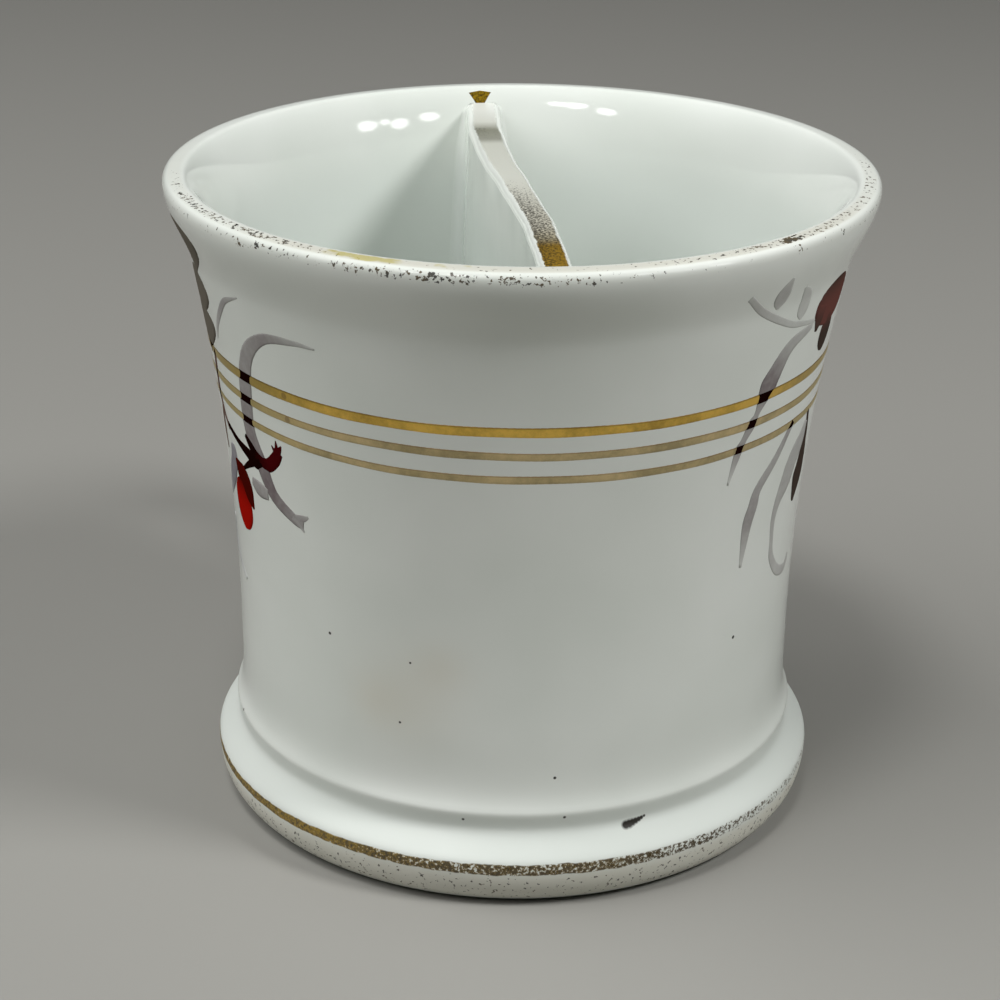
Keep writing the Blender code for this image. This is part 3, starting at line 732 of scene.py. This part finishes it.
def collarSkin(upper):
    # slip round a root: a quarter round from the wall up the handle. For each point beside the handle's
    # section, the wall is found along the handle's direction by Newton steps on radius - outside(height)
    line = handleLine() if upper else handleLine()[::-1]
    root, ahead = line[0], (line[2] - line[0]) / np.linalg.norm(line[2] - line[0])
    grow = handle["rootWidth"] / handle["width"]
    angle = np.linspace(0, 2 * np.pi, handle["collarAround"], endpoint=False)[:, None]
    wide = grow * handle["width"] / 2 - handle["overlap"]
    thick = grow * handle["thickness"] / 2 - handle["overlap"]
    nx, nt = np.cos(angle) / wide, np.sin(angle) / thick
    nx, nt = nx / np.hypot(nx, nt), nt / np.hypot(nx, nt)
    f = np.radians(np.linspace(0, 90, 15))
    leg = handle["collar"]
    away = np.concatenate([1 - np.sin(f), [-0.4, -0.4, 0.9]])[None, :] * leg
    lift = np.concatenate([1 - np.cos(f), [1.0, -0.5, -0.4]])[None, :] * leg + 0.01
    x = wide * np.cos(angle) + nx * away
    beside = thick * np.sin(angle) + nt * away
    s = np.zeros_like(x)
    for _ in range(8):
        y = root[0] - ahead[1] * beside + ahead[0] * s
        z = root[1] + ahead[0] * beside + ahead[1] * s
        s = s - (np.hypot(x, y) - outside(z)) / ahead[0]
    s = s + lift
    y = root[0] - ahead[1] * beside + ahead[0] * s
    z = root[1] + ahead[0] * beside + ahead[1] * s
    return skin(np.stack([x, y, z], -1), wrapPath=True)


makePiece("handle_glazed", [handleSkin()], plain, "handle")
for name in ("upper", "lower"):
    collar = collarSkin(name == "upper")
    makePiece(name + "_collar_glazed", [collar], plain, name + "_handle_slip", slot="luting_slip")

lines = {
    "heights": (67.87, 64.51, 61.30), "widths": (1.42, 1.18, 1.08), "lift": 0.03, "stop": 165.0,
    "gold": "#EEC45A", "dull": "#BC9A44", "thin": "#CFB988", "worn": "#A3946A", "edge": "#6E5230",
    "olive": "#A89648", "oliveFrom": (28.0, 40.0),  # mm to either side, where the lines turn greener
    "cloud": 7.0, "roughness": 0.34, "steps": 700,
    "back": 0.06, "rim": 0.004,  # how deep a film's back and its edges lie in the glaze
    "overlap": (-50, 0.55),  # turn and half length, in mm, of the place where the brush came round
}


def film(turn, z, width, lift, rows=9):
    # enamel or gold on the wall: the path is widened by half its width at right angles, along the wall's
    # own surface. It stands lift * (1 - v^4) proud at the share v of its half width, and its back lies
    # under the glaze
    du, dz = np.radians(np.gradient(turn)) * outside(z), np.gradient(z)
    size = np.hypot(du, dz)
    v = np.concatenate([np.linspace(-1, 1, rows), np.linspace(1, -1, 4)])[None, :]
    proud = lift * (1 - np.linspace(-1, 1, rows) ** 4) - lines["rim"]
    deep = np.concatenate([proud, np.full(4, -lines["back"])])[None, :]
    aside = v * width[:, None] / 2
    height = z[:, None] + aside * (du / size)[:, None]
    radius = outside(height)
    angle = turn[:, None] - np.degrees(aside * (dz / size)[:, None] / radius)
    return wallPoint(angle, radius + deep, height), np.broadcast_to(v, height.shape)


def wander(turn, seed):
    # the hand on the wheel: sines of the turn, each less than a tenth of a millimetre
    t = np.radians(turn)
    return 0.05 * np.sin(2 * t + seed) + 0.03 * np.sin(7 * t + 2 * seed) + 0.02 * np.sin(19 * t + 5 * seed)


def lineGold(name, bright, dull, metallic):
    # liquid gold, brushed on a turning wheel and burnished: warm metal, browner where it is thin and along
    # its upper edge
    made, add = newMaterial(name)
    place = add("TexCoord", out="Object")
    across = add("Attribute", attribute_name="across", out="Fac")
    size = perMm / lines["cloud"]
    thin = add("TexNoise", {"Vector": place, "Scale": size, "Detail": 7.0, "Roughness": 0.75})
    tint = {0: add("MapRange", [thin, 0.40, 0.62]), 6: linear(bright), 7: linear(dull)}
    tint = add("Mix", tint, **tinted)
    aside = add("Math", [add("SeparateXYZ", [place])], operation="ABSOLUTE")
    near, far = lines["oliveFrom"]
    over = [(add("MapRange", [aside, near / 1000, far / 1000, 0.0, 0.8]), "olive")]
    turn, half = lines["overlap"]
    for height in lines["heights"][:2]:
        away = add("VectorMath", [place, wallSpot(turn, height)], out="Value", operation="DISTANCE")
        over.append((add("MapRange", [away, half / 1000, half / 1000 * 0.7, 0.0, 0.5]), "edge"))
    over.append((add("MapRange", [across, 0.55, 0.85, 0.0, 0.6]), "edge"))
    for share, shade in over:
        tint = add("Mix", {0: share, 6: tint, 7: linear(lines[shade])}, **tinted)
    shader = add("BsdfPrincipled", {
        "Base Color": tint, "Metallic": metallic, "Roughness": lines["roughness"]})
    add("OutputMaterial", [shader])
    return made


burnished = lineGold("burnished_gilding", lines["gold"], lines["dull"], 0.7)
rubbed = lineGold("rubbed_gilding", lines["thin"], lines["worn"], 0.35)
lineKinds = (("upper", burnished, 1.0), ("middle", rubbed, 2.3), ("lower", rubbed, 4.1))
for (name, gold, seed), height, width in zip(lineKinds, lines["heights"], lines["widths"]):
    turn = np.linspace(-lines["stop"], lines["stop"], lines["steps"])
    swelling = width * (1 + wander(turn, seed + 3))
    points, across = film(turn, height + wander(turn, seed), swelling, lines["lift"])
    makePiece("gilt_line_" + name, [skin(points, across=across)], gold)

inks = {  # colour, and how much of it the brush laid down
    "mauve": ("#776D6E", 1.0), "slate": ("#7A757D", 1.0), "maroon": ("#45080C", 1.5),
    "black": ("#180604", 1.5), "red": ("#A0140B", 1.5), "russet": ("#480C06", 1.5),
    "feather": ("#706B61", 1.5), "wine": ("#6A443E", 1.5), "umber": ("#443A34", 1.5),
    "stem": ("#6A564E", 1.5),
}
sprays = {
    "middles": (-86.0, 77.0),  # the turns about which the left and the right spray repeat
    "farShift": -0.8,  # mm, how much lower the hidden half of a spray is set
    "farInk": "mauve",  # only its scrolls repeat there
    "lift": 0.045, "liftStep": 0.002,  # mm, each stroke lies a little over the one before
    "leafEnd": 0.1, "presses": 11, "thinnest": 0.12, "grain": 1.1, "roughness": 0.4,
}


def leaf(ink, turn, top, foot, widest, fullest=0.5, taper=1.0):
    # one press straight down: at the share t of the way its width goes as t^a (1 - t)^b, where a and b are
    # the taper times fullest and 1 - fullest, scaled so that it is widest at fullest
    t = (1 - np.cos(np.linspace(sprays["leafEnd"], np.pi - sprays["leafEnd"], sprays["presses"]))) / 2
    a, b = taper * fullest, taper * (1 - fullest)
    width = widest * (t / fullest) ** a * ((1 - t) / (1 - fullest)) ** b
    return ink, [(turn, z, w) for z, w in zip(top + (foot - top) * t, width)]


# each stroke: ink, then (turn, height, width, cover) where the brush pressed, without a cover of 1
leftSpray = [
    ("mauve", [(-41, 76, 0.3, 0.45), (-46, 76, 0.9, 0.6), (-53.5, 75, 1.6, 0.8), (-59.5, 71.5, 2.7, 0.75),
               (-62.5, 66, 3.4, 0.8), (-63.5, 60, 3.4, 0.9), (-60.5, 55.5, 3.3), (-57.5, 52, 2.4),
               (-52, 50, 1.8, 0.85), (-49, 49.5, 1.6, 0.75)]),
    ("mauve", [(-51.5, 50, 1.2, 0.8), (-49, 50.5, 1, 0.75), (-47.5, 51, 0.4, 0.6)]),
    ("mauve", [(-52, 50, 1.2, 0.75), (-50.5, 49.5, 0.9, 0.75), (-49, 48.5, 0.3, 0.55)]),
    ("mauve", [(-72, 71, 0.5, 0.4), (-70, 73.5, 0.9, 0.6), (-67, 76, 1.1, 0.7), (-64, 78, 0.9, 0.7),
               (-59, 79.5, 0.2, 0.5)]),
    leaf("feather", -77.5, 86.5, 78.5, 14, 0.3, 2),
    leaf("feather", -80, 79.5, 72.5, 11.5, 0.45, 2),
    leaf("feather", -80, 74, 67, 11.5, 0.3, 2),
    ("stem", [(-77, 68, 1.2), (-79, 64, 1.4), (-79.5, 61, 1.4), (-78, 58.5, 1.2), (-75.5, 57, 1)]),
    ("stem", [(-79, 60, 0.8), (-80.5, 56.5, 1.4), (-80, 53, 0.4)]),
    ("black", [(-76, 57.5, 1), (-70.5, 56.5, 1.2), (-67, 56, 1.7), (-63, 55.5, 2.3), (-60, 56, 1.6)]),
    ("black black maroon maroon", [(-66, 58.5, 0.8), (-64, 57.5, 2), (-62, 56.5, 2.2),
                                   (-58.5, 56, 2), (-55.5, 57.5, 2), (-54, 59, 1.8)]),
    ("maroon", [(-55, 58.5, 1), (-55.5, 59, 0.6), (-56, 59.5, 0.2)]),
    ("maroon", [(-54.5, 58.5, 1.1), (-54.5, 59.5, 0.8), (-54.5, 60.5, 0.2)]),
    ("maroon", [(-54, 59, 1), (-53.5, 59.5, 0.7), (-53, 60, 0.2)]),
    ("black", [(-61, 56, 1.3), (-65.5, 54.5, 1.1), (-69, 53, 0.6)]),
    leaf("russet red red", -72.5, 50.5, 43, 7),
    ("russet", [(-74, 53, 0.9), (-72.5, 52, 3.2), (-70.5, 51, 4.6), (-68.5, 49.5, 4), (-66.5, 47.5, 0.5)]),
    ("slate", [(-75, 55, 1.4, 0.8), (-75, 54, 2.9, 0.9), (-76, 52, 3, 0.95), (-79.5, 49, 3, 0.95),
               (-84, 45.5, 1, 0.7)]),
    ("mauve", [(-65.5, 52, 1.4, 0.8), (-63, 51.5, 2.4, 0.8), (-59.5, 51.5, 1.8, 0.7)]),
    ("slate", [(-84, 42, 1, 0.6), (-84.5, 38.5, 1, 0.7), (-80.5, 36, 0.8, 0.7), (-75.5, 34.5, 0.5, 0.4)]),
]
rightSpray = [
    ("mauve", [(31, 83.5, 0.9, 0.45), (36, 80.5, 1.1, 0.5), (44, 77.5, 1, 0.4), (49.5, 76.5, 0.8, 0.4),
               (53, 76, 0.6, 0.4)]),
    ("mauve", [(39.5, 85, 0.5, 0.4), (39, 83, 2.7, 0.55), (39, 81.5, 2.5, 0.55), (39, 80.5, 0.6, 0.45)]),
    ("mauve", [(45, 82.5, 0.5, 0.35), (47, 80.5, 2.6, 0.4), (47, 78.5, 2.4, 0.4), (47, 77.5, 0.6, 0.4)]),
    leaf("umber wine wine", 61, 80.5, 74, 13.5),
    leaf("wine umber umber", 61, 75.5, 70, 5),
    ("wine umber", [(56, 77.5, 3.6), (55.5, 76, 3.6), (55, 74, 0.8)]),
    ("mauve", [(52.5, 75.5, 1.1, 0.5), (46, 74, 2.3, 0.6), (42.5, 70.5, 3.5, 0.9), (41.5, 69, 3.6, 0.95),
               (40, 66, 1.2, 0.7), (39, 64.5, 1.8, 0.8), (37.5, 62.5, 1.2, 0.7), (36.5, 61, 1.5, 0.8),
               (35, 56.5, 0.4, 0.25)]),
    ("mauve", [(54, 61.5, 1.2, 0.8), (49.5, 57.5, 1.6, 0.65), (44.5, 54, 1.9, 0.7), (43.5, 51.5, 2.3, 0.75),
               (42.5, 49, 2.2, 0.75), (42, 43, 0.6, 0.35)]),
    ("mauve", [(62.5, 59.5, 1.4, 0.6), (61, 57, 3.8, 0.6), (58, 55, 4.2, 0.6), (56, 52.5, 4, 0.6),
               (53.5, 50, 2.2, 0.6), (52.5, 47.5, 1.4, 0.6), (53, 44.5, 1.1, 0.55), (54, 41.5, 1.4, 0.55),
               (58, 38.5, 1.6, 0.5), (63, 37.5, 1.4, 0.6), (65, 39, 0.8, 0.6)]),
    ("umber", [(62.5, 61, 0.9), (64.5, 57.5, 1.4), (64.5, 55.5, 3), (64.5, 53, 4.8),
               (64, 51, 5.6), (63, 48.5, 2.6), (63, 47.5, 0.6)]),
]


def mirrored(strokes, middle, shift):
    # the same strokes turned over about a spray's middle and set a little lower
    return [(ink, [(2 * middle - turn, z + shift, *rest) for turn, z, *rest in brushed])
            for ink, brushed in strokes]


def strokeSkin(ink, brushed, lift):
    # a film along the spline through the places where the brush pressed, its inks blending from end to end
    pressed = [(*press, 1)[:4] for press in brushed]
    turn, z, width, cover = spline(pressed, 30 + 6 * len(pressed)).T
    points, across = film(turn, z, np.clip(width, sprays["thinnest"], None), lift)
    named = [inks[name] for name in ink.split()]
    strength = named[0][1]
    where = np.linspace(0, len(named) - 1, len(turn))
    pigment = between(where, np.arange(len(named)), [linear(colour) for colour, _ in named])
    pigment = np.broadcast_to(pigment[:, None, :], across.shape + (4,))
    laid = np.broadcast_to(strength * np.clip(cover, 0, 1)[:, None], across.shape)
    return skin(points, pigment=pigment, cover=laid, across=across)


def enamelPaint():
    # overglaze enamel, brushed on thin and fired: flat watery colour, deeper along a stroke's edges, and
    # dark over gold
    made, add = newMaterial("brushed_overglaze_enamel")
    place, white = glazeColour(add)
    pigment = add("Attribute", attribute_name="pigment", out="Color")
    cover = add("Attribute", attribute_name="cover", out="Fac")
    across = add("Attribute", attribute_name="across", out="Fac")
    grain = add("TexNoise", {"Vector": place, "Scale": perMm / sprays["grain"], "Detail": 3.0})
    thick = add("Math", [grain, 0.3, 0.8], **timesPlus)
    thick = add("Math", [thick, cover], **times)
    rim = add("Math", [across, 6.0], operation="POWER")
    rim = add("Math", [rim, 0.3], **times)
    deep = add("Mix", {0: rim, 6: pigment, 7: linear(inks["black"][0])}, **tinted)
    height = add("SeparateXYZ", [place], out=2)
    onGold = 0.0
    for level, width in zip(lines["heights"], lines["widths"]):
        here = add("Math", [height, level / 1000, width / 2000], operation="COMPARE")
        onGold = add("Math", [onGold, here], operation="MAXIMUM")
    deep = add("Mix", {0: onGold, 6: deep, 7: linear(inks["black"][0])}, **tinted)
    share = add("Clamp", [add("Math", [thick, onGold], operation="MAXIMUM")])
    colour = add("Mix", {0: share, 6: white, 7: deep}, **tinted)
    shader = add("BsdfPrincipled", {
        "Base Color": colour, "Roughness": sprays["roughness"], "Specular IOR Level": 0.0})
    add("OutputMaterial", [shader])
    return made


paint = enamelPaint()
for name, strokes, middle in zip(("left_spray", "right_spray"), (leftSpray, rightSpray), sprays["middles"]):
    far = [s for s in mirrored(strokes, middle, sprays["farShift"]) if s[0] == sprays["farInk"]]
    skins = [strokeSkin(ink, brushed, sprays["lift"] + sprays["liftStep"] * k)
             for k, (ink, brushed) in enumerate(strokes + far)]
    makePiece(name, skins, paint)

stage = {
    "floor": "#95948F", "floorRoughness": 0.55, "reach": 4.0,  # reach in metres, to each side
    "sky": "#F2F5F2", "world": 0.01, "aim": (0, 0, 60),
    # turn, elevation, distance in metres, width, watts: the fills light, and only the bulbs are mirrored
    "fills": [(60, 43.6, 0.95, 0.25, 5.4), (-85, 50, 1.2, 1.2, 11.2), (-28, 68, 0.95, 0.20, 3.0),
              (180, 85, 1.15, 0.5, 0.8)],
    "bulbs": [(59, 26.5, 1.0, 0.13, 0.45), (52, 29, 1.0, 0.07, 0.13), (45, 28, 1.0, 0.12, 0.38),
              (33, 33, 1.0, 0.12, 0.38), (-22, 47, 1.0, 0.10, 0.27), (-30, 45.5, 1.0, 0.13, 0.45),
              (-43, 40, 1.0, 0.12, 0.38)],
}
floorMesh = bpy.data.meshes.new("floor")
square = [(x * stage["reach"], y * stage["reach"], 0) for x, y in ((-1, -1), (1, -1), (1, 1), (-1, 1))]
floorMesh.from_pydata(square, [], [(0, 1, 2, 3)])
floor = bpy.data.objects.new("floor", floorMesh)
bpy.context.scene.collection.objects.link(floor)
board, add = newMaterial("matt_pale_board")  # painted board, rolled matt: an even grey, hardly mirroring
matt = {"Base Color": linear(stage["floor"]), "Roughness": stage["floorRoughness"]}
add("OutputMaterial", [add("BsdfPrincipled", matt)])
floorMesh.materials.append(board)

world = bpy.data.worlds.new("studio")
bpy.context.scene.world = world
world.use_nodes = True
sky = world.node_tree.nodes["Background"].inputs
sky["Color"].default_value = linear(stage["sky"])
sky["Strength"].default_value = stage["world"]
aim = Vector(toWorld(stage["aim"]).tolist())
for index, (turn, height, away, width, watts) in enumerate(stage["fills"] + stage["bulbs"]):
    light = bpy.data.lights.new("lamp", "AREA")
    light.shape = "DISK"
    light.size = width
    light.energy = watts
    lamp = bpy.data.objects.new("lamp", light)
    turn, height = np.radians([turn, height])
    level = np.cos(height)
    lamp.location = aim + away * Vector((level * np.sin(turn), -level * np.cos(turn), np.sin(height)))
    lamp.rotation_euler = (aim - lamp.location).to_track_quat("-Z", "Y").to_euler()
    lamp.visible_diffuse = index < len(stage["fills"])
    lamp.visible_glossy = not lamp.visible_diffuse
    bpy.context.scene.collection.objects.link(lamp)

# the camera: millimetres from the axis, degrees to the right of straight ahead, below level, and clockwise
camera = {
    "lens": 85.6, "sensor": 36.0, "nearest": 0.01,  # lens and sensor in mm, nearest in metres
    "place": (-34.25, -309.26, 174.23), "heading": 5.87, "pitch": 23.21, "roll": 0.66,
}
heading, pitch, roll = (np.radians(camera[key]) for key in ("heading", "pitch", "roll"))
ahead = Vector((np.sin(heading) * np.cos(pitch), np.cos(heading) * np.cos(pitch), -np.sin(pitch)))
right = Vector((np.cos(heading), -np.sin(heading), 0))
up = right.cross(ahead)
right, up = right * np.cos(roll) + up * np.sin(roll), up * np.cos(roll) - right * np.sin(roll)
cameraData = bpy.data.cameras.new("camera")
cameraData.lens = camera["lens"]
cameraData.sensor_width = camera["sensor"]
cameraData.clip_start = camera["nearest"]
eye = bpy.data.objects.new("camera", cameraData)
turned = Matrix((right, up, -ahead)).transposed().to_4x4()
eye.matrix_world = Matrix.Translation((Vector(camera["place"]) + Vector((0, axisY, 0))) / 1000) @ turned
bpy.context.scene.collection.objects.link(eye)
bpy.context.scene.camera = eye
bpy.context.scene.view_settings.view_transform = "Standard"
print("stage: floor,", len(stage["fills"] + stage["bulbs"]), "lamps and the camera")

bpy.context.view_layer.update()
